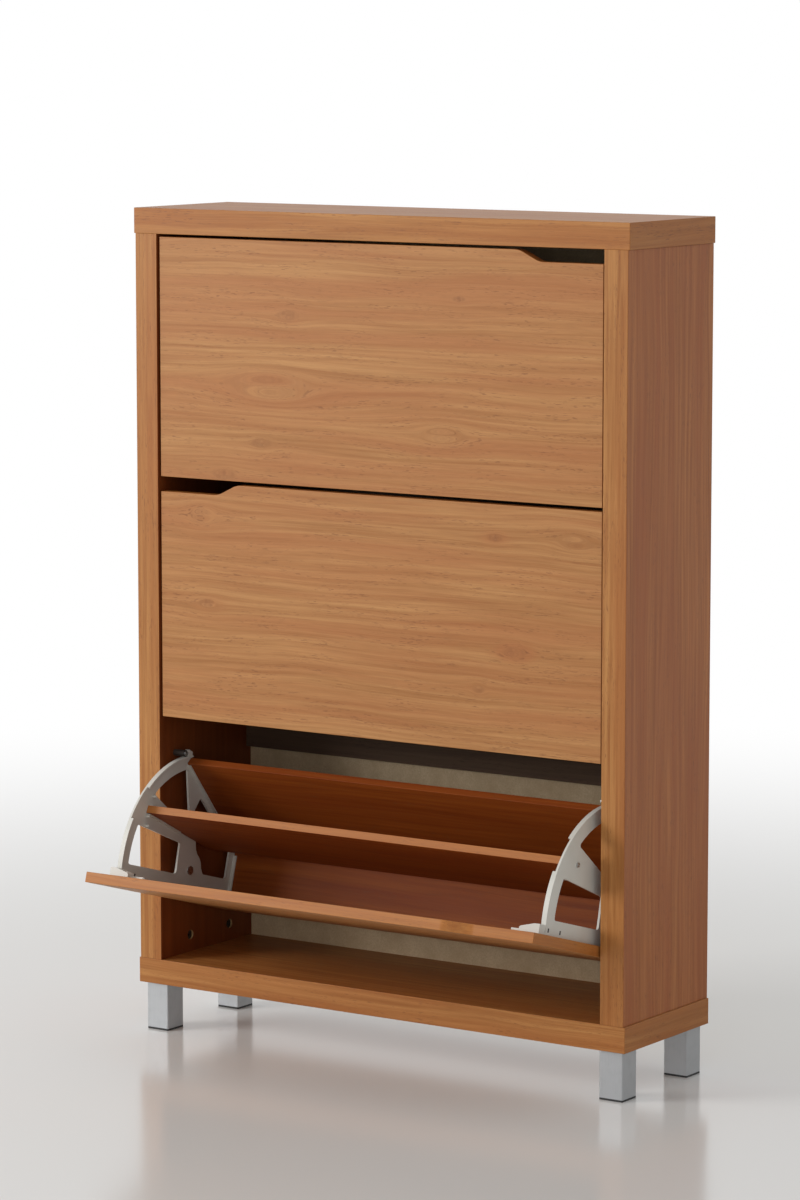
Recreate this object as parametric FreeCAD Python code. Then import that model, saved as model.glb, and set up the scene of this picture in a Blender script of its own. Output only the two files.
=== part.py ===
import FreeCAD, Part
import math
import os

# A three-tier tip-out shoe cabinet on four square metal feet.
#
# X runs to the right, Y to the back and Z up from the floor, in millimetres. Every piece is
# first made in the cabinet's own frame, where X = 0 is the middle and Y = 0 is the front edge
# of the top and bottom boards. The last step moves the whole cabinet along Y, so that the
# origin lies on the floor in the middle of the cabinet with its lowest drawer open.
#
# A drawer is made closed, about its pivot: Y = 0, Z = 0 is the pivot's axis. It is then
# turned open by its own angle and put in its tier.

Vector = FreeCAD.Vector
ALONG_X, ALONG_Y, ALONG_Z = Vector(1, 0, 0), Vector(0, 1, 0), Vector(0, 0, 1)

# --- Carcass -----------------------------------------------------------------------------------
WIDTH = 884.0               # top and bottom boards, side to side
DEPTH = 242.0               # front edge to back
BODY_HEIGHT = 1205.0        # underside of the bottom board to the top surface
BOARD_THICKNESS = 39.0      # top and bottom boards
SIDE_THICKNESS = 40.0       # side panels
SIDE_SETBACK = 2.5          # each side panel stands in from the boards' ends
BOARD_EDGE = 0.8            # rounding of the carcass boards' edges
BACK_THICKNESS = 3.0        # hardboard back panel
REBATE_WIDTH = 12.0         # how far the back panel laps over the boards
BACK_CLEARANCE = 0.5        # between the back panel's edges and its rebate
RAIL_THICKNESS = 12.0       # rear rails, just in front of the back panel
RAIL_HEIGHT = 100.0
RAIL_ABOVE_PIVOT = 171.0    # a rail's lower edge above the pivot of the drawer below it

# --- Cabinet joints ----------------------------------------------------------------------------
FIT = 0.1                   # radial clearance of a fastener in its hole
CAM_RADIUS = 7.5
CAM_LENGTH = 12.0
CAM_FROM_END = 27.0         # cam's axis from the side panel's end
CAM_PLACES = (76.0, 179.0)  # from the front edge
BOLT_FROM_FACE = 8.0        # cam bolt's axis from the side panel's inner face
BOLT_THREAD_RADIUS = 3.0
BOLT_THREAD_LENGTH = 11.0
BOLT_SHANK_RADIUS = 2.5
BOLT_HEAD_RADIUS = 3.5
BOLT_HEAD_LENGTH = 3.0
BOLT_BORE_RADIUS = 4.2
CAM_CROSS_REACH = 4.5       # cross in a cam's face: from its middle to an arm's end
CAM_CROSS_HALF_WIDTH = 1.0
CAM_CROSS_DEPTH = 2.0
DOWEL_RADIUS = 4.0
DOWEL_LENGTH = 40.0
DOWEL_PLACES = (30.0, 127.5, 214.0)
RAIL_DOWEL_RADIUS = 3.0
RAIL_DOWEL_LENGTH = 30.0
RAIL_DOWEL_FROM_EDGE = 25.0
NAIL_RADIUS = 1.0
NAIL_LENGTH = 14.0
NAIL_HEAD_RADIUS = 2.5
NAIL_HEAD_LENGTH = 0.8
NAIL_PITCH = 165.0          # greatest distance between nails
NAIL_FROM_DOWEL = 8.0       # least distance from a rail dowel's axis

# --- Feet --------------------------------------------------------------------------------------
FOOT_HEIGHT = 75.0          # floor to the bottom board
FOOT_WIDTH = 40.0           # square tube
FOOT_WALL = 1.5
FOOT_CORNER = 2.0
FOOT_INSET = 8.5            # tube to the bottom board's edges
FOOT_PLATE_WIDTH = 73.0
FOOT_PLATE_THICKNESS = 2.0
FOOT_SCREW_FROM_EDGE = 12.0
PAD_THICKNESS = 3.0
PAD_PLUG_HEIGHT = 9.0
PAD_PLUG_CLEARANCE = 0.2
SCREW_HEAD_LENGTH = 2.2
SCREW_HEAD_RADIUS = 3.6
SCREW_CROSS_REACH = 2.2     # cross in a screw's head: from its middle to an arm's end
SCREW_CROSS_WIDTH = 0.9
SCREW_CROSS_DEPTH = 1.1
FOOT_SCREW_RADIUS = 2.0
FOOT_SCREW_LENGTH = 16.0

# --- Drawer fronts -----------------------------------------------------------------------------
TIERS = 3
FRONT_THICKNESS = 16.0
FRONT_RECESS = 3.5          # behind the carcass's front edge
FRONT_SIDE_GAP = 3.2
FRONT_TOP_GAP = 4.5
FRONT_GAP = 6.0             # between one front and the next
FRONT_BOTTOM_GAP = 11.0
FRONT_EDGE = 0.8
GRIP_DEPTH = 17.0           # finger cut in a front's top edge
GRIP_LENGTH = 108.0         # its straight stretch, up to the front's end
GRIP_SLOPE = 35.0           # its sloping end
GRIP_ROUNDING = 30.0

# --- Drawer pivot ------------------------------------------------------------------------------
OPEN_ANGLE = 74.0           # from closed to resting on the stops
PIVOT_BEHIND_FRONT = 32.5   # axis behind the front's inner face
PIVOT_SHARE = 248.0 / 733   # axis above the front's bottom edge, as a share of its height
PIN_RADIUS = 4.0
PIN_RUNNING_CLEARANCE = 0.05
PIN_IN_SIDE = 11.5
PIN_HEAD_RADIUS = 7.0
PIN_HEAD_LENGTH = 2.0
BUSH_RADIUS = 6.5
BUSH_DEPTH = 14.0
BUSH_FLANGE_RADIUS = 10.0
BUSH_FLANGE_THICKNESS = 1.3
HUB_END_PLAY = 0.7          # between the bracket's hub and the bush's flange

# --- Stops -------------------------------------------------------------------------------------
STOP_FORWARD = 13.0         # stop's axis in front of the pivot's
STOP_RADIUS = 5.0
STOP_ARC_CLEARANCE = 0.6    # between the stop and the bracket's rim
STOP_GAP = 0.3              # left between the stop and what meets it
STOP_INWARD = 20.5          # stop's length from the side panel
STOP_SCREW_RADIUS = 2.0
STOP_SCREW_IN_SIDE = 14.0

# --- Side brackets -----------------------------------------------------------------------------
BRACKET_GAP = 13.5          # side panel to the bracket's outer face
WEB_THICKNESS = 3.5
RIM_BELOW_TOP = 60.7        # front's top edge to the top of the bracket's curved rim
REAR_CORNER_GAP = 10.8      # least room from the shut bracket's rear corner to the back panel
ARC_BAND = 21.8             # width of the curved band
RIM_THICKNESS = 3.0
RIM_WIDTH = 8.0
RIM_BREAK = (19.4, 38.1)    # angles from upright where the rim is only as wide as the web
LEG_WIDTH = 23.0            # along the front's inner face
HUB_PLATE_RADIUS = 30.0
HUB_RADIUS = 9.0
WINDOW_ROUNDING = 4.0
FOOT_LEG_WIDTH = 26.0       # along the drawer's bottom
REAR_LEG_WIDTH = 9.6        # in front of the rear board
REAR_RIB = 3.0              # behind the rear board
RIB_THICKNESS = 2.0
RIB_DEPTH = 6.0
FLANGE_THICKNESS = 3.0
FLANGE_REACH = 54.0         # inwards from the bracket's outer face
FLANGE_HEIGHT = 36.0
FLANGE_LIP = 4.5
FLANGE_LIP_THICKNESS = 2.5
FLANGE_OVER_RIM = 4.2       # upper flange's top above the rim's top
FLANGE_UP_FRONT = 58.0      # lower flange's top above the front's bottom edge
FLANGE_SCREWS = (18.0, 42.0)
END_BLOCK_OVER_FLANGE = 11.5
END_BLOCK_BASE = 5.0        # how far the end block starts below the flange's top
END_BLOCK_REACH = 34.0      # inwards from the bracket's outer face
END_BLOCK_FLAT = 9.0        # how much of that is as deep as the leg
END_BLOCK_TIP = 7.8         # its depth where it ends
END_BLOCK_ROUNDING = 4.0
SLOTS_BELOW_FLANGE = (14.0, 47.0)
SLOT_HEIGHT = 3.6
SLOT_WIDTH = 6.0
SLOT_FROM_FRONT = 4.4
HOOK_ROOT = 11.0            # hook's width at the rim
HOOK_WIDTH = 12.0           # and where it is widest
HOOK_TIP = 4.0              # how far back its tip lies from the face that meets the stop
HOOK_TIP_OVER_STOP = 4.5    # tip's height above the stop's axis
HOOK_FACE_OVER_STOP = 1.0

# --- Drawer boards -----------------------------------------------------------------------------
DRAWER_BOARD = 12.0
DRAWER_BOARD_EDGE = 0.6
BOARD_END_GAP = 0.3         # board's end to the bracket's web
DIVIDER_LEAN = 11.2         # from upright, top to the back
DIVIDER_OFFSET = 45.5       # its front face from the pivot
DIVIDER_RIM_GAP = 20.0      # its upper rear corner to the rim's inside
DIVIDER_LOW = -35.3         # its lower edge, along its slope
DIVIDER_SCREWS = (16.0, 85.0)   # below its upper edge, and above its lower edge
DIVIDER_RIB_LOW = 91.0      # where its ribs start, above its lower edge
REAR_LEAN = 35.3
REAR_OFFSET = 102.7
REAR_RIM_GAP = 1.4
REAR_LAP = 0.2              # its lower edge below the bottom board's upper face
REAR_SCREWS = (22.0, 35.0)
REAR_RIB_LOW = 56.0
RIB_BELOW_TOP = 4.0         # ribs' upper ends below the boards' upper edges
RIB_FROM_FRONT = 8.0
BOTTOM_SCREW_FROM_END = 16.0
WOOD_SCREW_RADIUS = 1.75
WOOD_SCREW_LENGTH = 28.0
FRONT_SCREW_LENGTH = 14.0

# --- Worked out from the sizes above -----------------------------------------------------------
INNER = WIDTH / 2 - SIDE_SETBACK - SIDE_THICKNESS       # side panel's inner face
BODY_TOP = FOOT_HEIGHT + BODY_HEIGHT
OPENING_LOW = FOOT_HEIGHT + BOARD_THICKNESS
OPENING_HIGH = BODY_TOP - BOARD_THICKNESS
FRONT_HEIGHT = (OPENING_HIGH - OPENING_LOW - FRONT_TOP_GAP - FRONT_BOTTOM_GAP
                - (TIERS - 1) * FRONT_GAP) / TIERS
BACK_FACE = DEPTH - BACK_THICKNESS                      # back panel's front face
BRACKET_FACE = INNER - BRACKET_GAP                      # bracket's outer face
WEB_FACE = BRACKET_FACE - WEB_THICKNESS                 # bracket's inner face
BOARD_END = WEB_FACE - BOARD_END_GAP
PIVOT_ABOVE_FRONT = PIVOT_SHARE * FRONT_HEIGHT
PIVOT_Y = FRONT_RECESS + FRONT_THICKNESS + PIVOT_BEHIND_FRONT
FRONT_INSIDE = -PIVOT_BEHIND_FRONT                      # front's faces and edges, from the pivot
FRONT_OUTSIDE = FRONT_INSIDE - FRONT_THICKNESS
FRONT_LOW = -PIVOT_ABOVE_FRONT
FRONT_HIGH = FRONT_LOW + FRONT_HEIGHT
BOTTOM_TOP = FRONT_LOW + DRAWER_BOARD                   # upper face of a drawer's bottom board
FAR = 2 * FRONT_HEIGHT                                  # beyond any drawer piece

JOINT_PLANES = ((OPENING_LOW, 1), (OPENING_HIGH, -1))   # side panel's ends, and the way into it


def rim_radius():
    """Outside of the bracket's rim: as large as the front's height and the back both let it be."""
    lean = math.radians(REAR_LEAN)
    behind = REAR_OFFSET + DRAWER_BOARD + REAR_RIB
    room = BACK_FACE - REAR_CORNER_GAP - PIVOT_Y
    corner = (room - behind * math.cos(lean)) / math.sin(lean)
    return min(FRONT_HIGH - RIM_BELOW_TOP, math.hypot(behind, corner))


ARC_RADIUS = rim_radius()                               # about the pivot
UPPER_FLANGE_TOP = ARC_RADIUS + FLANGE_OVER_RIM
LOWER_FLANGE_TOP = FRONT_LOW + FLANGE_UP_FRONT
END_BLOCK_TOP = UPPER_FLANGE_TOP + END_BLOCK_OVER_FLANGE
STOP_UP = math.sqrt((ARC_RADIUS + STOP_ARC_CLEARANCE + STOP_RADIUS) ** 2 - STOP_FORWARD ** 2)


def inside_rim(offset, gap):
    """How far up its slope a drawer board goes, with its upper rear corner inside the rim."""
    return math.sqrt((ARC_RADIUS - RIM_THICKNESS - gap) ** 2 - (offset + DRAWER_BOARD) ** 2)


def on_bottom_board(lean, offset, lap):
    """How far down its slope a drawer board goes, to the bottom board's upper face."""
    angle = math.radians(lean)
    return (BOTTOM_TOP + offset * math.sin(angle)) / math.cos(angle) - lap


DIVIDER_TOP = inside_rim(DIVIDER_OFFSET, DIVIDER_RIM_GAP)       # along their slopes
REAR_TOP = inside_rim(REAR_OFFSET, REAR_RIM_GAP)
REAR_LOW = on_bottom_board(REAR_LEAN, REAR_OFFSET, REAR_LAP)


def pivot_height(tier):
    """Height of a drawer's axis above the floor; tier 0 is the lowest."""
    return OPENING_LOW + FRONT_BOTTOM_GAP + PIVOT_ABOVE_FRONT + tier * (FRONT_HEIGHT + FRONT_GAP)


# --- Shapes ------------------------------------------------------------------------------------
def box(x0, x1, y0, y1, z0, z1):
    """A box between two corners."""
    return Part.makeBox(x1 - x0, y1 - y0, z1 - z0, Vector(x0, y0, z0))


def rod(radius, start, axis, length):
    """A cylinder from a point, along an axis."""
    return Part.makeCylinder(radius, length, Vector(*start), axis)


def disc(radius, x0, x1, y=0.0, z=0.0):
    """A cylinder along X."""
    return rod(radius, (x0, y, z), ALONG_X, x1 - x0)


def drawn_out(corners, way):
    """A flat polygon, drawn out along a vector."""
    corners = [Vector(*corner) for corner in corners]
    return Part.Face(Part.makePolygon(corners + corners[:1])).extrude(way)


def prism(points, x0, x1):
    """A polygon of (y, z) points, as thick as x0 to x1."""
    return drawn_out([(x0, y, z) for y, z in points], ALONG_X * (x1 - x0))


def edges_along(shape, axis):
    """The straight edges of a shape that run along an axis."""
    straight = [e for e in shape.Edges if isinstance(e.Curve, Part.Line)]
    return [e for e in straight if abs(e.tangentAt(e.FirstParameter).dot(axis)) > 0.999]


def rounded(shape, radius):
    """A shape with all its edges rounded."""
    return shape.makeFillet(radius, shape.Edges)


def mirrored(shape):
    """The same shape on the other side of the cabinet."""
    return shape.mirror(Vector(0, 0, 0), ALONG_X)


def on_both_sides(shapes):
    """A group of separate solids, with their mirror images."""
    return Part.makeCompound(list(shapes) + [mirrored(shape) for shape in shapes])


def turned(shape, angle):
    """A shape turned about the X axis; positive takes the top forward."""
    copy = shape.copy()
    copy.rotate(Vector(0, 0, 0), ALONG_X, angle)
    return copy


def leaning(lean, offset, thickness, low, high, half_width):
    """A board whose top leans to the back, at a distance from the pivot's axis."""
    return turned(box(-half_width, half_width, offset, offset + thickness, low, high), -lean)


def screw(radius, length, head_radius, start, axis):
    """A pan-head screw with a cross in its head; start is under the head."""
    head_top = Vector(*start) - axis * SCREW_HEAD_LENGTH
    body = rod(radius, start, axis, length)
    body = body.fuse(rod(head_radius, head_top, axis, SCREW_HEAD_LENGTH))
    first = ALONG_X if abs(axis.z) > 0.5 else ALONG_Z
    for side in (first, axis.cross(first)):
        arm, half = side * SCREW_CROSS_REACH, axis.cross(side) * (SCREW_CROSS_WIDTH / 2)
        corners = [head_top - arm - half, head_top + arm - half, head_top + arm + half,
                   head_top - arm + half]
        body = body.cut(drawn_out(corners, axis * SCREW_CROSS_DEPTH))
    return body


# --- Carcass -----------------------------------------------------------------------------------
def back_rebate():
    """The recess that the back panel lies in."""
    reach = INNER + REBATE_WIDTH
    return box(-reach, reach, BACK_FACE, DEPTH + 1, OPENING_LOW - REBATE_WIDTH,
               OPENING_HIGH + REBATE_WIDTH)


def cam_bolts(clearance=0.0):
    """Right-hand cam bolts, each screwed into a board and standing up into the side panel."""
    bolts = []
    x = INNER + BOLT_FROM_FACE
    neck = CAM_FROM_END - 2 * BOLT_HEAD_LENGTH
    for plane, inward in JOINT_PLANES:
        for y in CAM_PLACES:
            way = ALONG_Z * inward
            thread = rod(BOLT_THREAD_RADIUS + clearance, (x, y, plane), way * -1, BOLT_THREAD_LENGTH)
            shank = rod(BOLT_SHANK_RADIUS, (x, y, plane), way, neck)
            head = rod(BOLT_HEAD_RADIUS, (x, y, plane + inward * neck), way, BOLT_HEAD_LENGTH)
            bolts.append(thread.fuse([shank, head]))
    return bolts


def cam_bores():
    """What the cams and the bolts' shanks take out of the right side panel."""
    bores = []
    for plane, inward in JOINT_PLANES:
        for y in CAM_PLACES:
            bores.append(disc(CAM_RADIUS + FIT, INNER - 1, INNER + CAM_LENGTH + FIT, y,
                              plane + inward * CAM_FROM_END))
            bores.append(rod(BOLT_BORE_RADIUS, (INNER + BOLT_FROM_FACE, y, plane - inward),
                             ALONG_Z * inward, CAM_FROM_END))
    return bores


def cam_locks():
    """Right-hand cams: round, open to the bolt's head on one side, with a cross in the face."""
    locks = []
    bottom, reach, half = INNER + CAM_CROSS_DEPTH, CAM_CROSS_REACH, CAM_CROSS_HALF_WIDTH
    for plane, inward in JOINT_PLANES:
        for y in CAM_PLACES:
            z = plane + inward * CAM_FROM_END
            cam = disc(CAM_RADIUS, INNER, INNER + CAM_LENGTH, y, z)
            mouth = rod(BOLT_BORE_RADIUS, (INNER + BOLT_FROM_FACE, y, z - inward * 2 * CAM_RADIUS),
                        ALONG_Z * inward, 2 * CAM_RADIUS)
            cross = [box(INNER - 1, bottom, y - reach, y + reach, z - half, z + half),
                     box(INNER - 1, bottom, y - half, y + half, z - reach, z + reach)]
            locks.append(cam.cut([mouth] + cross))
    return locks


def dowels(clearance=0.0):
    """Right-hand dowels between the side panel and the boards."""
    x = INNER + SIDE_THICKNESS / 2
    half = DOWEL_LENGTH / 2 + clearance
    return [rod(DOWEL_RADIUS + clearance, (x, y, plane - half), ALONG_Z, 2 * half)
            for plane, _ in JOINT_PLANES for y in DOWEL_PLACES]


def rail_dowels(clearance=0.0):
    """Right-hand dowels between the side panel and the rear rails."""
    half = RAIL_DOWEL_LENGTH / 2 + clearance
    y = BACK_FACE - RAIL_THICKNESS / 2
    return [disc(RAIL_DOWEL_RADIUS + clearance, INNER - half, INNER + half, y, z)
            for z in rail_dowel_heights()]


def rail_dowel_heights():
    """Heights of the rail dowels' axes."""
    return [rail_bottom(tier) + up for tier in range(TIERS - 1)
            for up in (RAIL_DOWEL_FROM_EDGE, RAIL_HEIGHT - RAIL_DOWEL_FROM_EDGE)]


def rail_bottom(tier):
    """Lower edge of the rail above a drawer."""
    return pivot_height(tier) + RAIL_ABOVE_PIVOT


def carcass_board(low, clearances):
    """The top or the bottom board."""
    board = rounded(box(-WIDTH / 2, WIDTH / 2, 0, DEPTH, low, low + BOARD_THICKNESS), BOARD_EDGE)
    return board.cut([back_rebate()] + clearances)


def side_panel():
    """The right side panel."""
    outer = INNER + SIDE_THICKNESS
    panel = rounded(box(INNER, outer, 0, DEPTH, OPENING_LOW, OPENING_HIGH), BOARD_EDGE)
    holes = [back_rebate()] + cam_bores() + dowels(FIT) + rail_dowels(FIT)
    for tier in range(TIERS):
        z = pivot_height(tier)
        holes.append(disc(BUSH_RADIUS + FIT, INNER - 1, INNER + BUSH_DEPTH + FIT, PIVOT_Y, z))
        holes.append(disc(STOP_SCREW_RADIUS + FIT, INNER - 1, INNER + STOP_SCREW_IN_SIDE + FIT,
                          PIVOT_Y - STOP_FORWARD, z + STOP_UP))
    return panel.cut(holes + back_nails(FIT))


def clear_of_dowels(z):
    """A height moved, if it needs to be, away from the rail dowels."""
    for dowel in rail_dowel_heights():
        if abs(z - dowel) < NAIL_FROM_DOWEL:
            z = dowel + math.copysign(NAIL_FROM_DOWEL, z - dowel)
    return z


def nail_places():
    """Where the back panel is nailed: round its edge, and into the rails."""
    x, low, high = (INNER + REBATE_WIDTH / 2, OPENING_LOW - REBATE_WIDTH / 2,
                    OPENING_HIGH + REBATE_WIDTH / 2)
    rows = math.ceil((high - low) / NAIL_PITCH)
    columns = math.ceil(2 * x / NAIL_PITCH)
    places = []
    for row in range(1, rows):
        z = clear_of_dowels(low + (high - low) * row / rows)
        places += [(-x, z), (x, z)]
    heights = [low, high] + [rail_bottom(tier) + RAIL_HEIGHT / 2 for tier in range(TIERS - 1)]
    for column in range(1, columns):
        places += [(-x + 2 * x * column / columns, z) for z in heights]
    return places


def back_nails(clearance=0.0):
    """Nails with flat heads that lie flush with the back panel."""
    nails = []
    for x, z in nail_places():
        shank = rod(NAIL_RADIUS + clearance, (x, DEPTH, z), ALONG_Y * -1, NAIL_LENGTH + clearance)
        head = rod(NAIL_HEAD_RADIUS + clearance, (x, DEPTH, z), ALONG_Y * -1, NAIL_HEAD_LENGTH)
        nails.append(shank.fuse(head))
    return nails


def back_panel():
    """The hardboard back, in its rebate."""
    reach = INNER + REBATE_WIDTH - BACK_CLEARANCE
    low = OPENING_LOW - REBATE_WIDTH + BACK_CLEARANCE
    high = OPENING_HIGH + REBATE_WIDTH - BACK_CLEARANCE
    return box(-reach, reach, BACK_FACE, DEPTH, low, high).cut(back_nails(FIT))


def rear_rail(tier):
    """The rail across the back, above a drawer."""
    low = rail_bottom(tier)
    rail = rounded(box(-INNER, INNER, BACK_FACE - RAIL_THICKNESS, BACK_FACE, low, low + RAIL_HEIGHT),
                   DRAWER_BOARD_EDGE)
    ends = rail_dowels(FIT)
    return rail.cut(ends + [mirrored(end) for end in ends] + back_nails(FIT))


def pivot_bush(tier):
    """The flanged bush that a drawer's pin turns in, in the right side panel."""
    z = pivot_height(tier)
    bush = disc(BUSH_RADIUS, INNER, INNER + BUSH_DEPTH, PIVOT_Y, z)
    bush = bush.fuse(disc(BUSH_FLANGE_RADIUS, INNER - BUSH_FLANGE_THICKNESS, INNER, PIVOT_Y, z))
    bore = disc(PIN_RADIUS + PIN_RUNNING_CLEARANCE, INNER - 2 * BUSH_FLANGE_THICKNESS,
                INNER + PIN_IN_SIDE + HUB_END_PLAY, PIVOT_Y, z)
    return bush.cut(bore)


def stop_sleeve(tier):
    """The sleeve that the bracket's hook comes to rest on."""
    y, z = PIVOT_Y - STOP_FORWARD, pivot_height(tier) + STOP_UP
    sleeve = disc(STOP_RADIUS, INNER - STOP_INWARD, INNER, y, z)
    return sleeve.cut(disc(STOP_SCREW_RADIUS + FIT, INNER - STOP_INWARD - 1, INNER + 1, y, z))


def stop_screw(tier):
    """The screw that holds the sleeve to the side panel."""
    start = (INNER - STOP_INWARD, PIVOT_Y - STOP_FORWARD, pivot_height(tier) + STOP_UP)
    return screw(STOP_SCREW_RADIUS, STOP_INWARD + STOP_SCREW_IN_SIDE, SCREW_HEAD_RADIUS, start,
                 ALONG_X)


# --- Feet --------------------------------------------------------------------------------------
def foot_ranges(front):
    """Where the right-hand front or rear foot's tube and plate lie, as (low, high) in X and Y."""
    x_out = WIDTH / 2 - FOOT_INSET
    near = FOOT_INSET if front else DEPTH - FOOT_INSET
    into = 1 if front else -1
    tube_y = sorted((near, near + into * FOOT_WIDTH))
    plate_y = sorted((near, near + into * FOOT_PLATE_WIDTH))
    return ((x_out - FOOT_WIDTH, x_out), tube_y), ((x_out - FOOT_PLATE_WIDTH, x_out), plate_y)


def foot(front):
    """A right-hand foot: a square tube welded to the corner of its plate."""
    (tube_x, tube_y), (plate_x, plate_y) = foot_ranges(front)
    plate_low = FOOT_HEIGHT - FOOT_PLATE_THICKNESS
    tube = box(*tube_x, *tube_y, PAD_THICKNESS, plate_low)
    tube = tube.makeFillet(FOOT_CORNER, edges_along(tube, ALONG_Z))
    hollow = box(tube_x[0] + FOOT_WALL, tube_x[1] - FOOT_WALL, tube_y[0] + FOOT_WALL,
                 tube_y[1] - FOOT_WALL, PAD_THICKNESS - 1, plate_low)
    plate = box(*plate_x, *plate_y, plate_low, FOOT_HEIGHT)
    return tube.cut(hollow).fuse(plate).removeSplitter().cut(foot_screw_shanks(front))


def foot_screw_places(front):
    """The three corners of a right-hand plate that its tube leaves free."""
    _, (plate_x, plate_y) = foot_ranges(front)
    inner_x = plate_x[0] + FOOT_SCREW_FROM_EDGE
    outer_x = plate_x[1] - FOOT_SCREW_FROM_EDGE
    ends = (plate_y[0] + FOOT_SCREW_FROM_EDGE, plate_y[1] - FOOT_SCREW_FROM_EDGE)
    near, far = ends if front else ends[::-1]
    return ((inner_x, near), (inner_x, far), (outer_x, far))


def foot_screws(front):
    """The screws of a right-hand foot."""
    low = FOOT_HEIGHT - FOOT_PLATE_THICKNESS
    return [screw(FOOT_SCREW_RADIUS, FOOT_SCREW_LENGTH, SCREW_HEAD_RADIUS, (x, y, low), ALONG_Z)
            for x, y in foot_screw_places(front)]


def foot_screw_shanks(front):
    """What a right-hand foot's screws take out of its plate and the bottom board."""
    low = FOOT_HEIGHT - FOOT_PLATE_THICKNESS
    return [rod(FOOT_SCREW_RADIUS + FIT, (x, y, low - 1), ALONG_Z, FOOT_SCREW_LENGTH + 1 + FIT)
            for x, y in foot_screw_places(front)]


def foot_pad(front):
    """The plastic glide that plugs a right-hand foot's tube."""
    (tube_x, tube_y), _ = foot_ranges(front)
    inside = FOOT_WALL + PAD_PLUG_CLEARANCE
    sole = box(*tube_x, *tube_y, 0, PAD_THICKNESS)
    sole = sole.makeFillet(FOOT_CORNER, edges_along(sole, ALONG_Z))
    plug = box(tube_x[0] + inside, tube_x[1] - inside, tube_y[0] + inside, tube_y[1] - inside,
               PAD_THICKNESS, PAD_THICKNESS + PAD_PLUG_HEIGHT)
    return sole.fuse(plug)


# --- Drawer, closed, about its pivot -----------------------------------------------------------
def drawer_front(grip_side):
    """The front board, with a finger cut at one end of its top edge."""
    half = INNER - FRONT_SIDE_GAP
    board = box(-half, half, FRONT_OUTSIDE, FRONT_INSIDE, FRONT_LOW, FRONT_HIGH)
    start, foot_of_slope = half - GRIP_LENGTH - GRIP_SLOPE, half - GRIP_LENGTH
    low = FRONT_HIGH - GRIP_DEPTH
    corners = [(grip_side * x, FRONT_OUTSIDE - 1, z) for x, z in (
        (start, FRONT_HIGH), (foot_of_slope, low), (half + 1, low), (half + 1, FRONT_HIGH + 1),
        (start, FRONT_HIGH + 1))]
    board = board.cut(drawn_out(corners, ALONG_Y * (FRONT_THICKNESS + 2)))
    bends = [e for e in edges_along(board, ALONG_Y)
             if min(abs(e.CenterOfMass.x - grip_side * start),
                    abs(e.CenterOfMass.x - grip_side * foot_of_slope)) < 0.01]
    board = rounded(board.makeFillet(GRIP_ROUNDING, bends), FRONT_EDGE)
    pilots = front_screw_shanks()
    return board.cut(pilots + [mirrored(pilot) for pilot in pilots])


def drawer_boards(clearance=0.0):
    """The divider, the rear board and the bottom board."""
    divider = leaning(DIVIDER_LEAN, DIVIDER_OFFSET - clearance, DRAWER_BOARD + 2 * clearance,
                      DIVIDER_LOW, DIVIDER_TOP, BOARD_END)
    rear = leaning(REAR_LEAN, REAR_OFFSET - clearance, DRAWER_BOARD + 2 * clearance,
                   REAR_LOW, REAR_TOP, BOARD_END)
    return {"divider": divider, "rear_board": rear,
            "bottom_board": box(-BOARD_END, BOARD_END, FRONT_INSIDE, rear_face(BOTTOM_TOP),
                                FRONT_LOW, BOTTOM_TOP + clearance)}


def rear_face(z, extra=0.0):
    """Y of the rear board's front face at a height, or of a plane parallel to it."""
    lean = math.radians(REAR_LEAN)
    return (REAR_OFFSET + extra + math.sin(lean) * z) / math.cos(lean)


def finished_board(name):
    """A drawer board with its edges rounded and its pilot holes drilled."""
    board = rounded(drawer_boards()[name], DRAWER_BOARD_EDGE)
    pilots = [rod(WOOD_SCREW_RADIUS + FIT, start, ALONG_X * -1, WOOD_SCREW_LENGTH + FIT)
              for start in board_screw_starts()]
    return board.cut(pilots + [mirrored(pilot) for pilot in pilots])


def board_screw_starts():
    """Where the right bracket's screws go into the ends of the three boards."""
    places = []
    for lean, offset, low, top, (down, up) in (
            (DIVIDER_LEAN, DIVIDER_OFFSET, DIVIDER_LOW, DIVIDER_TOP, DIVIDER_SCREWS),
            (REAR_LEAN, REAR_OFFSET, REAR_LOW, REAR_TOP, REAR_SCREWS)):
        angle = math.radians(lean)
        middle = offset + DRAWER_BOARD / 2
        for mark in (top - down, low + up):
            places.append((middle * math.cos(angle) + mark * math.sin(angle),
                           mark * math.cos(angle) - middle * math.sin(angle)))
    bottom_middle = (FRONT_LOW + BOTTOM_TOP) / 2
    places += [(FRONT_INSIDE + BOTTOM_SCREW_FROM_END, bottom_middle),
               (rear_face(BOTTOM_TOP) - BOTTOM_SCREW_FROM_END, bottom_middle)]
    return [(BRACKET_FACE, y, z) for y, z in places]


def board_screws():
    """The screws that join the right bracket to the boards."""
    return [screw(WOOD_SCREW_RADIUS, WOOD_SCREW_LENGTH, SCREW_HEAD_RADIUS, start, ALONG_X * -1)
            for start in board_screw_starts()]


def front_screw_starts():
    """Where the right bracket's flanges are screwed to the front."""
    y = FRONT_INSIDE + FLANGE_THICKNESS
    return [(BRACKET_FACE - reach, y, top - FLANGE_HEIGHT / 2)
            for top in (UPPER_FLANGE_TOP, LOWER_FLANGE_TOP) for reach in FLANGE_SCREWS]


def front_screws():
    """The screws that join the right bracket to the front."""
    return [screw(WOOD_SCREW_RADIUS, FRONT_SCREW_LENGTH, SCREW_HEAD_RADIUS, start, ALONG_Y * -1)
            for start in front_screw_starts()]


def front_screw_shanks():
    """What the right bracket's front screws take out of the flanges and the front."""
    return [rod(WOOD_SCREW_RADIUS + FIT, start, ALONG_Y * -1, FRONT_SCREW_LENGTH + FIT)
            for start in front_screw_starts()]


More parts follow.
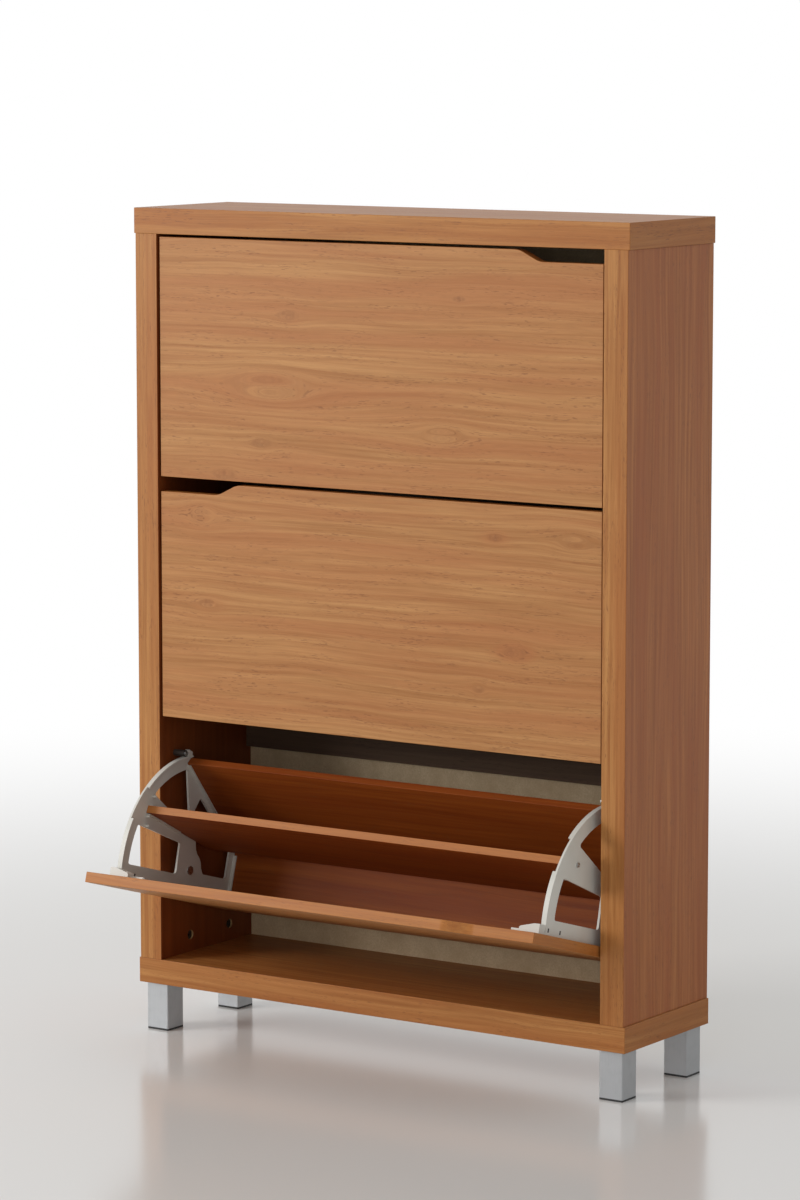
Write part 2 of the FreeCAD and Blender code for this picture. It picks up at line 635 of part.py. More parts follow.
def pivot_pin():
    """The right-hand pin, held in the bracket's hub and turning in the bush."""
    pin = disc(PIN_RADIUS, WEB_FACE, INNER + PIN_IN_SIDE)
    return pin.fuse(disc(PIN_HEAD_RADIUS, WEB_FACE - PIN_HEAD_LENGTH, WEB_FACE))


def rounded_window(shape):
    """A window's cutter with its corners rounded."""
    return shape.makeFillet(WINDOW_ROUNDING, edges_along(shape, ALONG_X))


def bracket_windows():
    """The three openings in the right bracket's web."""
    x0, x1 = WEB_FACE - 1, BRACKET_FACE + 1
    inside_band = disc(ARC_RADIUS - ARC_BAND, x0, x1)
    leg = FRONT_INSIDE + LEG_WIDTH
    hub = disc(HUB_PLATE_RADIUS, x0, x1)
    front = prism([(leg, 34), (39, 36), (59.3, 200), (leg, 200)], x0, x1)
    rear = prism([(58.5, 14.1), (220, 71), (140, 208)], x0, x1)
    floor = FRONT_LOW + FOOT_LEG_WIDTH
    low = prism([(rear_face(1, -REAR_LEG_WIDTH), 1), (92, 12), (34, -8), (-2, -36), (-2, floor),
                 (rear_face(floor, -REAR_LEG_WIDTH), floor)], x0, x1)
    return [rounded_window(shape) for shape in (
        front.common(inside_band).cut(hub), rear.common(inside_band), low.cut(hub))]


def bracket_outline():
    """The bracket's outline, as a prism that reaches past its faces: a quarter sector."""
    x0, x1 = BRACKET_FACE - FLANGE_REACH, BRACKET_FACE + 1
    behind = DRAWER_BOARD + REAR_RIB
    return prism([(FRONT_INSIDE, FRONT_LOW), (rear_face(FRONT_LOW, behind), FRONT_LOW),
                  (rear_face(FAR, behind), FAR), (FRONT_INSIDE, FAR)], x0, x1)


def bracket_rim():
    """The curved rim, narrow where the divider's end is."""
    rim_inside = BRACKET_FACE - RIM_WIDTH
    ring = disc(ARC_RADIUS, rim_inside, BRACKET_FACE).cut(
        disc(ARC_RADIUS - RIM_THICKNESS, rim_inside - 1, BRACKET_FACE + 1))
    low, high = (math.radians(angle) for angle in RIM_BREAK)
    gap = prism([(0, 0), (FAR * math.sin(low), FAR * math.cos(low)),
                 (FAR * math.sin(high), FAR * math.cos(high))], rim_inside - 1, WEB_FACE)
    return ring.common(bracket_outline()).cut(gap)


def bracket_hook():
    """The hook that meets the stop when the drawer is open; drawn open and turned closed."""
    face = STOP_RADIUS + STOP_GAP - STOP_FORWARD
    low = ARC_RADIUS - RIM_THICKNESS
    hook = prism([(face, low), (face, STOP_UP + HOOK_FACE_OVER_STOP),
                  (face + HOOK_TIP, STOP_UP + HOOK_TIP_OVER_STOP), (face + HOOK_WIDTH, STOP_UP),
                  (face + HOOK_ROOT, low)], BRACKET_FACE - RIM_WIDTH, BRACKET_FACE)
    return turned(hook, -OPEN_ANGLE)


def bracket_ribs():
    """Ribs on the inner face that hold the ends of the three boards."""
    ribs = []
    for lean, offset, low, top in (
            (DIVIDER_LEAN, DIVIDER_OFFSET, DIVIDER_LOW + DIVIDER_RIB_LOW, DIVIDER_TOP),
            (REAR_LEAN, REAR_OFFSET, REAR_LOW + REAR_RIB_LOW, REAR_TOP)):
        for start in (offset - BOARD_END_GAP - RIB_THICKNESS,
                      offset + DRAWER_BOARD + BOARD_END_GAP):
            ribs.append(turned(box(WEB_FACE - RIB_DEPTH, BRACKET_FACE - 1, start,
                                   start + RIB_THICKNESS, low, top - RIB_BELOW_TOP), -lean))
    floor = BOTTOM_TOP + BOARD_END_GAP
    ribs.append(box(WEB_FACE - RIB_DEPTH, BRACKET_FACE - 1, FRONT_INSIDE + RIB_FROM_FRONT,
                    rear_face(floor, -RIB_FROM_FRONT), floor, floor + RIB_THICKNESS))
    return ribs


def bracket_flanges():
    """The two flanges that lie on the front's inner face, each with a lip."""
    inward = BRACKET_FACE - FLANGE_REACH
    pieces = []
    for top in (UPPER_FLANGE_TOP, LOWER_FLANGE_TOP):
        for depth, low in ((FLANGE_THICKNESS, top - FLANGE_HEIGHT),
                           (FLANGE_LIP, top - FLANGE_LIP_THICKNESS)):
            pieces.append(box(inward, BRACKET_FACE, FRONT_INSIDE, FRONT_INSIDE + depth, low, top))
    return pieces


def end_block():
    """The block on the upper flange: as deep as the leg, then sloping down to a rounded end."""
    stop_face = -STOP_FORWARD - STOP_RADIUS - STOP_GAP
    inward, low = BRACKET_FACE - END_BLOCK_REACH, UPPER_FLANGE_TOP - END_BLOCK_BASE
    block = drawn_out([(BRACKET_FACE, FRONT_INSIDE, low), (BRACKET_FACE, stop_face, low),
                       (BRACKET_FACE - END_BLOCK_FLAT, stop_face, low),
                       (inward, FRONT_INSIDE + END_BLOCK_TIP, low), (inward, FRONT_INSIDE, low)],
                      ALONG_Z * (END_BLOCK_TOP - low))
    tip = [e for e in edges_along(block, ALONG_Z)
           if abs(e.CenterOfMass.x - inward) < 0.01 and e.CenterOfMass.y > FRONT_INSIDE + 0.01]
    return block.makeFillet(END_BLOCK_ROUNDING, tip)


def bracket():
    """The right-hand moulded bracket."""
    web = disc(ARC_RADIUS, WEB_FACE, BRACKET_FACE).common(bracket_outline())
    web = web.cut(bracket_windows())
    hub = disc(HUB_RADIUS, BRACKET_FACE - 1, INNER - BUSH_FLANGE_THICKNESS - HUB_END_PLAY)
    body = web.fuse([bracket_rim(), bracket_hook(), hub, end_block()] + bracket_ribs()
                    + bracket_flanges())
    holes = [disc(PIN_RADIUS, WEB_FACE - 1, INNER)]
    holes += [rod(WOOD_SCREW_RADIUS + FIT, start, ALONG_X * -1, WOOD_SCREW_LENGTH)
              for start in board_screw_starts()]
    slot_side = FRONT_INSIDE + SLOT_FROM_FRONT
    for down in SLOTS_BELOW_FLANGE:
        z = UPPER_FLANGE_TOP - down
        holes.append(box(WEB_FACE - 1, BRACKET_FACE + 1, slot_side, slot_side + SLOT_WIDTH,
                         z - SLOT_HEIGHT / 2, z + SLOT_HEIGHT / 2))
    return body.removeSplitter().cut(holes + front_screw_shanks())


def drawer(grip_side):
    """All the pieces of a drawer, closed, by name."""
    right = bracket()
    pieces = {name: finished_board(name) for name in drawer_boards()}
    pieces["front"] = drawer_front(grip_side)
    pieces["right_bracket"] = right
    pieces["left_bracket"] = mirrored(right)
    pieces["pivot_pins"] = on_both_sides([pivot_pin()])
    pieces["board_screws"] = on_both_sides(board_screws())
    pieces["front_screws"] = on_both_sides(front_screws())
    return pieces


# --- The whole cabinet -------------------------------------------------------------------------
def carcass():
    """The fixed pieces, by name."""
    side = side_panel()
    right_bolts, right_dowels = cam_bolts(), dowels()
    fastener_holes = cam_bolts(FIT) + dowels(FIT)
    fastener_holes += [mirrored(hole) for hole in fastener_holes]
    foot_holes = foot_screw_shanks(True) + foot_screw_shanks(False)
    foot_holes += [mirrored(hole) for hole in foot_holes]
    nail_holes = back_nails(FIT)
    pieces = {
        "top_board": carcass_board(OPENING_HIGH, fastener_holes + nail_holes),
        "bottom_board": carcass_board(FOOT_HEIGHT, fastener_holes + nail_holes + foot_holes),
        "right_side": side,
        "left_side": mirrored(side),
        "back_panel": back_panel(),
        "lower_rear_rail": rear_rail(0),
        "upper_rear_rail": rear_rail(1),
        "cam_locks": on_both_sides(cam_locks()),
        "cam_bolts": on_both_sides(right_bolts),
        "dowels": on_both_sides(right_dowels),
        "rail_dowels": on_both_sides(rail_dowels()),
        "back_nails": Part.makeCompound(back_nails()),
        "pivot_bushes": on_both_sides([pivot_bush(tier) for tier in range(TIERS)]),
        "stop_sleeves": on_both_sides([stop_sleeve(tier) for tier in range(TIERS)]),
        "stop_screws": on_both_sides([stop_screw(tier) for tier in range(TIERS)]),
        "foot_screws": on_both_sides(foot_screws(True) + foot_screws(False)),
    }
    for place, front in (("front", True), ("rear", False)):
        pieces[place + "_right_foot"] = foot(front)
        pieces[place + "_left_foot"] = mirrored(foot(front))
        pieces[place + "_right_foot_pad"] = foot_pad(front)
        pieces[place + "_left_foot_pad"] = mirrored(foot_pad(front))
    return pieces


def middle_of_depth():
    """Halfway between the open drawer's foremost edge and the cabinet's back."""
    angle = math.radians(OPEN_ANGLE)
    foremost = PIVOT_Y + FRONT_OUTSIDE * math.cos(angle) - FRONT_HIGH * math.sin(angle)
    return (foremost + DEPTH) / 2


def main():
    """Make every piece and write it out."""
    os.makedirs("parts", exist_ok=True)
    pieces = carcass()
    for tier, name, grip_side, angle in ((2, "upper", 1, 0.0), (1, "middle", -1, 0.0),
                                         (0, "lower", 1, OPEN_ANGLE)):
        for piece_name, piece in drawer(grip_side).items():
            placed = turned(piece, angle)
            placed.translate(Vector(0, PIVOT_Y, pivot_height(tier)))
            pieces[name + "_" + piece_name] = placed
    for name, piece in pieces.items():
        piece.translate(Vector(0, -middle_of_depth(), 0))
        if not piece.isValid():
            raise ValueError(name + " isn't a valid shape")
        piece.exportStep("parts/" + name + ".step")
        print(name, len(piece.Solids), "solids", round(piece.Volume / 1000, 1), "cm3")


main()
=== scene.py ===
"""A shoe cabinet with three tip-out drawers.

The finishes come first, then the tools that shape a piece, the cabinet's sub-assemblies and the studio.
"""

import logging
import math
from collections.abc import Callable, Iterable
from dataclasses import dataclass, field
from enum import Enum

import bmesh
import bpy
from mathutils import Euler, Matrix, Vector


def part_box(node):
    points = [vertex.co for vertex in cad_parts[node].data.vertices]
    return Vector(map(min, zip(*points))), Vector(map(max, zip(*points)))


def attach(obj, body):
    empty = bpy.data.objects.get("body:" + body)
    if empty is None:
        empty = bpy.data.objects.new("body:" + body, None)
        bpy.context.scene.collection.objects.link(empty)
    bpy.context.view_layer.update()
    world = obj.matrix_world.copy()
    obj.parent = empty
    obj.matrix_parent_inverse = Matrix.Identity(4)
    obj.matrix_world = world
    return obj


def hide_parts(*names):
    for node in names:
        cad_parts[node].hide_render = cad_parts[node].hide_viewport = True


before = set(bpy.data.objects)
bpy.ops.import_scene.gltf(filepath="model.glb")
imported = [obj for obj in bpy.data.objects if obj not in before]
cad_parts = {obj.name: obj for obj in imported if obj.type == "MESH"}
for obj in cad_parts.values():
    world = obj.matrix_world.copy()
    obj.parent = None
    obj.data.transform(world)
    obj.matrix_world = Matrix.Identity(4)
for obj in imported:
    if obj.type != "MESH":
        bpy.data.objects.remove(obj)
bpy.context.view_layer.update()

log = logging.getLogger("shoe_cabinet")

MM = 0.001
FACING = 0.7        # least part of a face's normal along an axis for it to look that way
ON_PLANE = 1e-5     # how near, in metres, a point is to a plane that it lies on
NODES: dict[str, bpy.types.Object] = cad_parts


# --- Colours and nodes ---------------------------------------------------------------------------
def linear(code: str) -> tuple[float, float, float, float]:
    """Turns an sRGB colour into linear light.

    Args:
        code: six hex digits, with or without a leading hash.

    Returns:
        Red, green, blue and an alpha of 1.
    """
    digits = code.lstrip("#")
    shares = (int(digits[i:i + 2], 16) / 255 for i in (0, 2, 4))
    red, green, blue = (s / 12.92 if s <= 0.04045 else ((s + 0.055) / 1.055) ** 2.4 for s in shares)
    return red, green, blue, 1.0


def add_node(tree: bpy.types.NodeTree, kind: str, inputs: dict | None = None,
             stops: Iterable[tuple[float, float]] = (), **settings: object) -> bpy.types.NodeSocket:
    """Adds one node to a tree, with its settings, values and links.

    Args:
        tree: the tree that it goes into.
        kind: the node's type, without its ShaderNode prefix.
        inputs: a socket to link or a value to set, by the input's name or number.
        stops: a colour ramp's grey stops, as place and brightness.
        settings: the node's own properties.

    Returns:
        The node's first output that is in use.
    """
    node = tree.nodes.new("ShaderNode" + kind)
    for name, value in settings.items():
        setattr(node, name, value)
    for key, value in (inputs or {}).items():
        if isinstance(value, bpy.types.NodeSocket):
            tree.links.new(value, node.inputs[key])
        else:
            node.inputs[key].default_value = value
    if stops:
        ramp = node.color_ramp.elements
        for n, (place, grey) in enumerate(stops):
            element = ramp[n] if n < 2 else ramp.new(place)
            element.position, element.color = place, (grey, grey, grey, 1)
    return next((out for out in node.outputs if out.enabled), None)


def new_material(name: str) -> tuple[bpy.types.Material, bpy.types.NodeTree]:
    """Makes an empty node material.

    Args:
        name: the finish's name.

    Returns:
        The material and its node tree.
    """
    material = bpy.data.materials.new(name)
    material.use_nodes = True
    material.node_tree.nodes.clear()
    return material, material.node_tree


class Grain(Enum):
    """Which way the wood figure runs, with the turn that lays it along X and its face's width along Z."""

    ALONG_X = (0.0, 0.0, 0.0)
    ALONG_Y = (0.0, 0.0, -math.pi / 2)
    ALONG_Z = (math.pi / 2, 0.0, math.pi / 2)


@dataclass(frozen=True)
class Knot:
    """Where a branch met the printed face, in millimetres from the panel's zero.

    The figure parts round it. Its stretch is how much longer than wide it is, its heart how dark its middle
    is, and its wing how strongly the wood reddens on either side.
    """

    along: float
    across: float
    radius: float
    stretch: float = 2.4
    heart: float = 0.6
    wing: float = 0.0


@dataclass(frozen=True)
class Laminate:
    """Melamine-faced board with an alder print: a thin printed sheet pressed to a faint pore texture.

    It gives the eye a warm low-contrast figure with short dark pores, under a soft satin gloss.
    """

    name: str
    pale: str
    mid: str
    deep: str
    blush: str
    pore: str = "#7A4A2A"
    roughness: float = 0.44
    contrast: float = 1.0
    gloss: float = 0.3

    def make(self, part: str, grain: Grain, seed: int, knots: tuple[Knot, ...] = (),
             lean: float = 0.0, pivot: tuple[float, float] = (0.0, 0.0)) -> bpy.types.Material:
        """Makes this laminate for one part.

        Args:
            part: what it covers, for the material's name.
            grain: the direction of its figure.
            seed: picks the stretch of the print.
            knots: the knots on this part.
            lean: radians about X by which the part rests turned.
            pivot: the Y and Z, in metres, that the lean is about.

        Returns:
            The material.
        """
        material, tree = new_material(f"{self.name}_{part}")
        place = add_node(tree, "TexCoord").node.outputs["Object"]
        if lean:
            centre = Vector((0, *pivot))
            back = Euler((-lean, 0, 0)).to_matrix()
            place = add_node(tree, "Mapping", {"Vector": place, "Rotation": (-lean, 0, 0),
                                               "Location": centre - back @ centre})
        place = add_node(tree, "Mapping", {"Vector": place, "Rotation": grain.value,
                                           "Scale": (1000, 1000, 1000)})
        along, depth, across = add_node(tree, "SeparateXYZ", {0: place}).node.outputs
        flow, heart, wings = across, None, None
        for knot in knots:
            near = add_node(tree, "VectorMath", {
                0: place, 1: (1 / knot.stretch, 0, 1),
                2: (-knot.along / knot.stretch, 0, -knot.across)}, operation="MULTIPLY_ADD")
            square = add_node(tree, "VectorMath", {0: near, 1: near}, operation="DOT_PRODUCT")
            held = add_node(tree, "Math", {0: square, 1: 0.4 * knot.radius ** 2}, operation="ADD")
            share = add_node(tree, "Math", {0: -knot.radius ** 2, 1: held}, operation="DIVIDE")
            rise = add_node(tree, "SeparateXYZ", {0: near}).node.outputs[2]
            flow = add_node(tree, "Math", {0: rise, 1: share, 2: flow}, operation="MULTIPLY_ADD")
            core = add_node(tree, "MapRange", {
                "Value": square, "From Min": 0.0, "From Max": 1.4 * knot.radius ** 2,
                "To Min": knot.heart, "To Max": 0.0}, interpolation_type="SMOOTHSTEP")
            heart = core if heart is None else add_node(
                tree, "Math", {0: heart, 1: core}, operation="MAXIMUM")
            if knot.wing:
                halo = add_node(tree, "MapRange", {
                    "Value": share, "From Min": -0.02, "From Max": -0.5,
                    "To Min": 0.0, "To Max": 0.8 * knot.wing}, interpolation_type="SMOOTHSTEP")
                wings = halo if wings is None else add_node(
                    tree, "Math", {0: wings, 1: halo}, operation="MAXIMUM")
        shift = 971.0 * seed
        # growth lines wander a few centimetres off straight over the length of a panel
        slow = add_node(tree, "CombineXYZ", {0: add_node(
            tree, "Math", {0: along, 1: 1 / 480.0}, operation="MULTIPLY"), 1: shift, 2: add_node(
            tree, "Math", {0: flow, 1: 1 / 120.0}, operation="MULTIPLY")})
        wander = add_node(tree, "TexNoise", {"Vector": slow, "Scale": 1.0, "Detail": 2.0})
        flow = add_node(tree, "Math", {0: wander, 1: 30.0, 2: flow}, operation="MULTIPLY_ADD")
        flat = add_node(tree, "CombineXYZ", {0: along, 1: add_node(
            tree, "Math", {0: depth, 1: shift}, operation="ADD"), 2: flow})

        def streaks(length: float, width: float, detail: float) -> bpy.types.NodeSocket:
            """Draws noise out along the grain.

            Args:
                length: the streaks' length in millimetres.
                width: their width in millimetres.
                detail: how much finer noise is laid over it.

            Returns:
                The noise.
            """
            scaled = add_node(tree, "VectorMath", {
                0: flat, 1: (1 / length, 1 / width, 1 / width)}, operation="MULTIPLY")
            return add_node(tree, "TexNoise", {"Vector": scaled, "Scale": 1.0, "Detail": detail,
                                               "Roughness": 0.55})

        tone = add_node(tree, "ValToRGB", {0: streaks(560, 30, 3)}, stops=((0.38, 0), (0.64, 1)))
        rings = add_node(tree, "ValToRGB", {0: streaks(300, 6.5, 4)}, stops=((0.3, 0), (0.7, 1)))
        bright = add_node(tree, "ValToRGB", {0: streaks(260, 2.6, 1)}, stops=((0.58, 0), (0.72, 1)))
        fibre = add_node(tree, "ValToRGB", {0: streaks(30, 1.4, 2)}, stops=((0.25, 0), (0.75, 1)))
        # real pores are 0.2 mm wide; they are drawn 1.2 mm wide so that they show
        pores = add_node(tree, "ValToRGB", {0: streaks(13, 1.2, 1)}, stops=((0.61, 0), (0.68, 1)))
        crowd = add_node(tree, "ValToRGB", {0: streaks(110, 14, 2)}, stops=((0.44, 0), (0.6, 1)))
        pores = add_node(tree, "Math", {0: pores, 1: crowd}, operation="MULTIPLY")

        colour = add_node(tree, "Mix", {0: rings, 6: linear(self.deep), 7: linear(self.pale)},
                          data_type="RGBA")
        colour = add_node(tree, "Mix", {0: 1 - 0.5 * self.contrast, 6: colour, 7: linear(self.mid)},
                          data_type="RGBA")
        glint = add_node(tree, "Math", {0: bright, 1: 0.3 * self.contrast}, operation="MULTIPLY")
        colour = add_node(tree, "Mix", {0: glint, 6: colour, 7: linear(self.pale)}, data_type="RGBA")
        blush = add_node(tree, "Math", {0: tone, 1: 0.5 * self.contrast}, operation="MULTIPLY")
        if wings is not None:
            blush = add_node(tree, "Math", {0: blush, 1: wings}, operation="MAXIMUM")
        colour = add_node(tree, "Mix", {0: blush, 6: colour, 7: linear(self.blush)}, data_type="RGBA")
        shade = add_node(tree, "MapRange", {"Value": fibre, "To Min": 0.93, "To Max": 1.06})
        colour = add_node(tree, "Mix", {0: 1.0, 6: colour, 7: shade}, data_type="RGBA",
                          blend_type="MULTIPLY")
        dark = add_node(tree, "Math", {0: pores, 1: 0.45 * max(1.0, self.contrast)}, operation="MULTIPLY")
        if heart is not None:
            mottle = add_node(tree, "MapRange", {"Value": streaks(9, 4.5, 2), "From Min": 0.35,
                                                 "From Max": 0.62, "To Min": 0.15, "To Max": 1.0})
            heart = add_node(tree, "Math", {0: heart, 1: mottle}, operation="MULTIPLY")
            dark = add_node(tree, "Math", {0: dark, 1: heart}, operation="MAXIMUM")
        colour = add_node(tree, "Mix", {0: dark, 6: colour, 7: linear(self.pore)}, data_type="RGBA")
        height = add_node(tree, "Math", {0: pores, 1: -1.0, 2: fibre}, operation="MULTIPLY_ADD")
        bump = add_node(tree, "Bump", {"Height": height, "Strength": 0.25, "Distance": 0.00012})
        rough = add_node(tree, "MapRange", {
            "Value": fibre, "To Min": self.roughness - 0.03, "To Max": self.roughness + 0.05})
        shader = add_node(tree, "BsdfPrincipled", {
            "Base Color": colour, "Roughness": rough, "Normal": bump, "IOR": 1.45,
            "Specular IOR Level": self.gloss})
        add_node(tree, "OutputMaterial", {0: shader})
        return material


@dataclass(frozen=True)
class Hardboard:
    """Hardboard, pressed from wood fibre and painted beige, for the cabinet's back.

    Its felted fibres give a dull, faintly mottled face.
    """

    light: str = "#DCC5A0"
    dark: str = "#C6AC86"

    def make(self) -> bpy.types.Material:
        """Makes the hardboard.

        Returns:
            The material.
        """
        material, tree = new_material("painted_hardboard")
        place = add_node(tree, "TexCoord").node.outputs["Object"]
        # fibre bundles 2 mm across, in clouds of about 25 mm
        fibres = add_node(tree, "TexNoise", {"Vector": place, "Scale": 500.0, "Detail": 3.0})
        clouds = add_node(tree, "TexNoise", {"Vector": place, "Scale": 40.0, "Detail": 2.0})
        both = add_node(tree, "Math", {0: fibres, 1: clouds}, operation="MULTIPLY")
        share = add_node(tree, "ValToRGB", {0: both}, stops=((0.12, 0), (0.42, 1)))
        colour = add_node(tree, "Mix", {0: share, 6: linear(self.dark), 7: linear(self.light)},
                          data_type="RGBA")
        bump = add_node(tree, "Bump", {"Height": fibres, "Strength": 0.4, "Distance": 0.0002})
        shader = add_node(tree, "BsdfPrincipled", {
            "Base Color": colour, "Roughness": 0.75, "Normal": bump, "IOR": 1.5})
        add_node(tree, "OutputMaterial", {0: shader})
        return material


@dataclass(frozen=True)
class Moulded:
    """Injection-moulded plastic: one body colour, a fine spark-eroded texture and a low sheen.

    Its texture is the pitch of its skin in millimetres.
    """

    name: str
    colour: str
    shade: str
    roughness: float
    texture: float = 0.6
    ior: float = 1.5

    def make(self) -> bpy.types.Material:
        """Makes the plastic.

        Returns:
            The material.
        """
        material, tree = new_material(self.name)
        place = add_node(tree, "TexCoord").node.outputs["Object"]
        skin = add_node(tree, "TexNoise", {"Vector": place, "Scale": 1000 / self.texture, "Detail": 2.0})
        # the melt's flow leaves tone changes some 60 mm long
        flow = add_node(tree, "TexNoise", {"Vector": place, "Scale": 16.0, "Detail": 2.0})
        share = add_node(tree, "ValToRGB", {0: flow}, stops=((0.3, 0), (0.7, 1)))
        colour = add_node(tree, "Mix", {0: share, 6: linear(self.shade), 7: linear(self.colour)},
                          data_type="RGBA")
        bump = add_node(tree, "Bump", {"Height": skin, "Strength": 0.2, "Distance": 0.00005})
        rough = add_node(tree, "MapRange", {
            "Value": skin, "To Min": self.roughness - 0.05, "To Max": self.roughness + 0.05})
        shader = add_node(tree, "BsdfPrincipled", {
            "Base Color": colour, "Roughness": rough, "Normal": bump, "IOR": self.ior})
        add_node(tree, "OutputMaterial", {0: shader})
        return material


@dataclass(frozen=True)
class Metal:
    """A metal with a worked surface, whose fine marks spread its highlights.

    Its lines are the lengths of those marks along X, Y and Z in millimetres.
    """

    name: str
    colour: str
    shade: str
    roughness: float
    lines: tuple[float, float, float]
    metallic: float = 1.0

    def make(self) -> bpy.types.Material:
        """Makes the metal.

        Returns:
            The material.
        """
        material, tree = new_material(self.name)
        place = add_node(tree, "TexCoord").node.outputs["Object"]
        drawn = add_node(tree, "VectorMath", {0: place, 1: tuple(1000 / n for n in self.lines)},
                         operation="MULTIPLY")
        marks = add_node(tree, "TexNoise", {"Vector": drawn, "Scale": 1.0, "Detail": 3.0})
        clouds = add_node(tree, "TexNoise", {"Vector": place, "Scale": 60.0, "Detail": 2.0})
        share = add_node(tree, "Math", {0: marks, 1: clouds}, operation="ADD")
        share = add_node(tree, "ValToRGB", {0: share}, stops=((0.7, 0), (1.0, 1)))
        colour = add_node(tree, "Mix", {0: share, 6: linear(self.shade), 7: linear(self.colour)},
                          data_type="RGBA")
        bump = add_node(tree, "Bump", {"Height": marks, "Strength": 0.15, "Distance": 0.00005})
        rough = add_node(tree, "MapRange", {
            "Value": marks, "To Min": self.roughness - 0.06, "To Max": self.roughness + 0.06})
        shader = add_node(tree, "BsdfPrincipled", {
            "Base Color": colour, "Roughness": rough, "Normal": bump, "Metallic": self.metallic})
        add_node(tree, "OutputMaterial", {0: shader})
        return material


# melamine in an alder print on the carcass: warm orange-brown with a lively figure
CARCASS_WOOD = Laminate("alder_laminate", pale="#C48B50", mid="#B2783E", deep="#935726", blush="#A66531",
                        contrast=1.45)
# the same print on the sides' outer faces, painted redder and deeper with shade: a shaded copy of the
# carcass print
OUTER_SIDE_WOOD_PAINTED_SHADE = Laminate("alder_laminate_side", pale="#BE7C48", mid="#AC6A39", deep="#8C4D22",
                     blush="#9F592F", contrast=1.4)
# the sides' inner faces: the same print, painted darker, redder and quieter with the shade that falls
# inside the cabinet
INNER_SIDE_WOOD_PAINTED_SHADE = Laminate("alder_laminate_side_inside", pale="#8E4C22", mid="#7A3C18", deep="#5E290D",
                       blush="#6C3010", contrast=0.7)
# the drawers' fronts, the palest sheet, with knots
FRONT_WOOD = Laminate("alder_laminate_front", pale="#C8935D", mid="#B57F4A", deep="#985F30",
                      blush="#AC6C3E", contrast=1.25)
# the boards inside the drawers: a red-brown melamine, painted deeper with the shade that falls inside the
# drawer, with less gloss
DRAWER_WOOD_AND_PAINTED_SHADE = Laminate("alder_laminate_drawer", pale="#A4581F", mid="#904616", deep="#72310B",
                       blush="#823812", contrast=1.2, roughness=0.52, gloss=0.2)
# melamine edge band, glued on and trimmed: plainer than the faces
EDGE_WOOD = Laminate("edge_band", pale="#C58547", mid="#B67438", deep="#9A5A25", blush="#AC6733",
                     contrast=1.1)
# drilled particle board, bare: pale, rough and dull
BORE_WALL = Laminate("raw_board_in_a_bore", pale="#C6A67C", mid="#B3936A", deep="#94744E",
                     blush="#A5845B", pore="#6E5436", roughness=0.75, gloss=0.1)
# rear rails of unfaced particle board, painted dark grey-brown with the shade that falls on the back under
# the drawers: matt
RAIL_BOARD_PAINTED_SHADE = Laminate("raw_particle_board", pale="#6E5744", mid="#5C4735", deep="#46352A",
                      blush="#503C2E", pore="#33261D", roughness=0.7, contrast=0.9)
# beige hardboard for the back: flat and softly mottled
HARDBOARD = Hardboard()
# light grey ABS for the brackets: even, with a low sheen
BRACKET_ABS = Moulded("moulded_abs_light_grey", "#DEDCD4", "#D2D0C6", 0.42)
# black polyethylene glides, and the black blocks that stand in for the shade in the brackets' leg slots:
# dull and waxy
PAD_AND_SLOT_SHADE_BLACK = Moulded("moulded_polyethylene_black", "#2A2A2A", "#1F1F1F", 0.6)
# dark brown nylon bushes and sleeves, a little glossier
DARK_NYLON = Moulded("moulded_nylon_dark", "#3A332D", "#2E2824", 0.5)
# satin anodised aluminium feet, drawn upright: soft pale grey under a clear oxide
SATIN_ALUMINIUM = Metal("satin_anodised_aluminium", "#ABADAF", "#A4A6A8", 0.42, (0.5, 0.5, 60.0),
                        metallic=0.55)
# die-cast zinc cam locks: dark and dull, their darkness partly painted shade from the bores they sit in
CAM_ZINC_AND_PAINTED_SHADE = Metal("die_cast_zinc_dark", "#55534F", "#3F3D3A", 0.5, (2.0, 2.0, 2.0))
# zinc-plated steel screws, bolts and nails: bright and slightly cloudy
ZINC = Metal("zinc_plated_steel", "#C2C3C2", "#A5A6A4", 0.34, (1.5, 1.5, 1.5))
# turned steel pins: bright, with fine rings
STEEL = Metal("turned_bright_steel", "#BDBEC0", "#9C9DA0", 0.28, (3.0, 1.0, 1.0))
# fluted beech dowels: pale, plain and dry
BEECH = Laminate("beech_dowel", pale="#E0BD8E", mid="#D4AC7A", deep="#C0935E", blush="#CBA06E",
                 roughness=0.6)


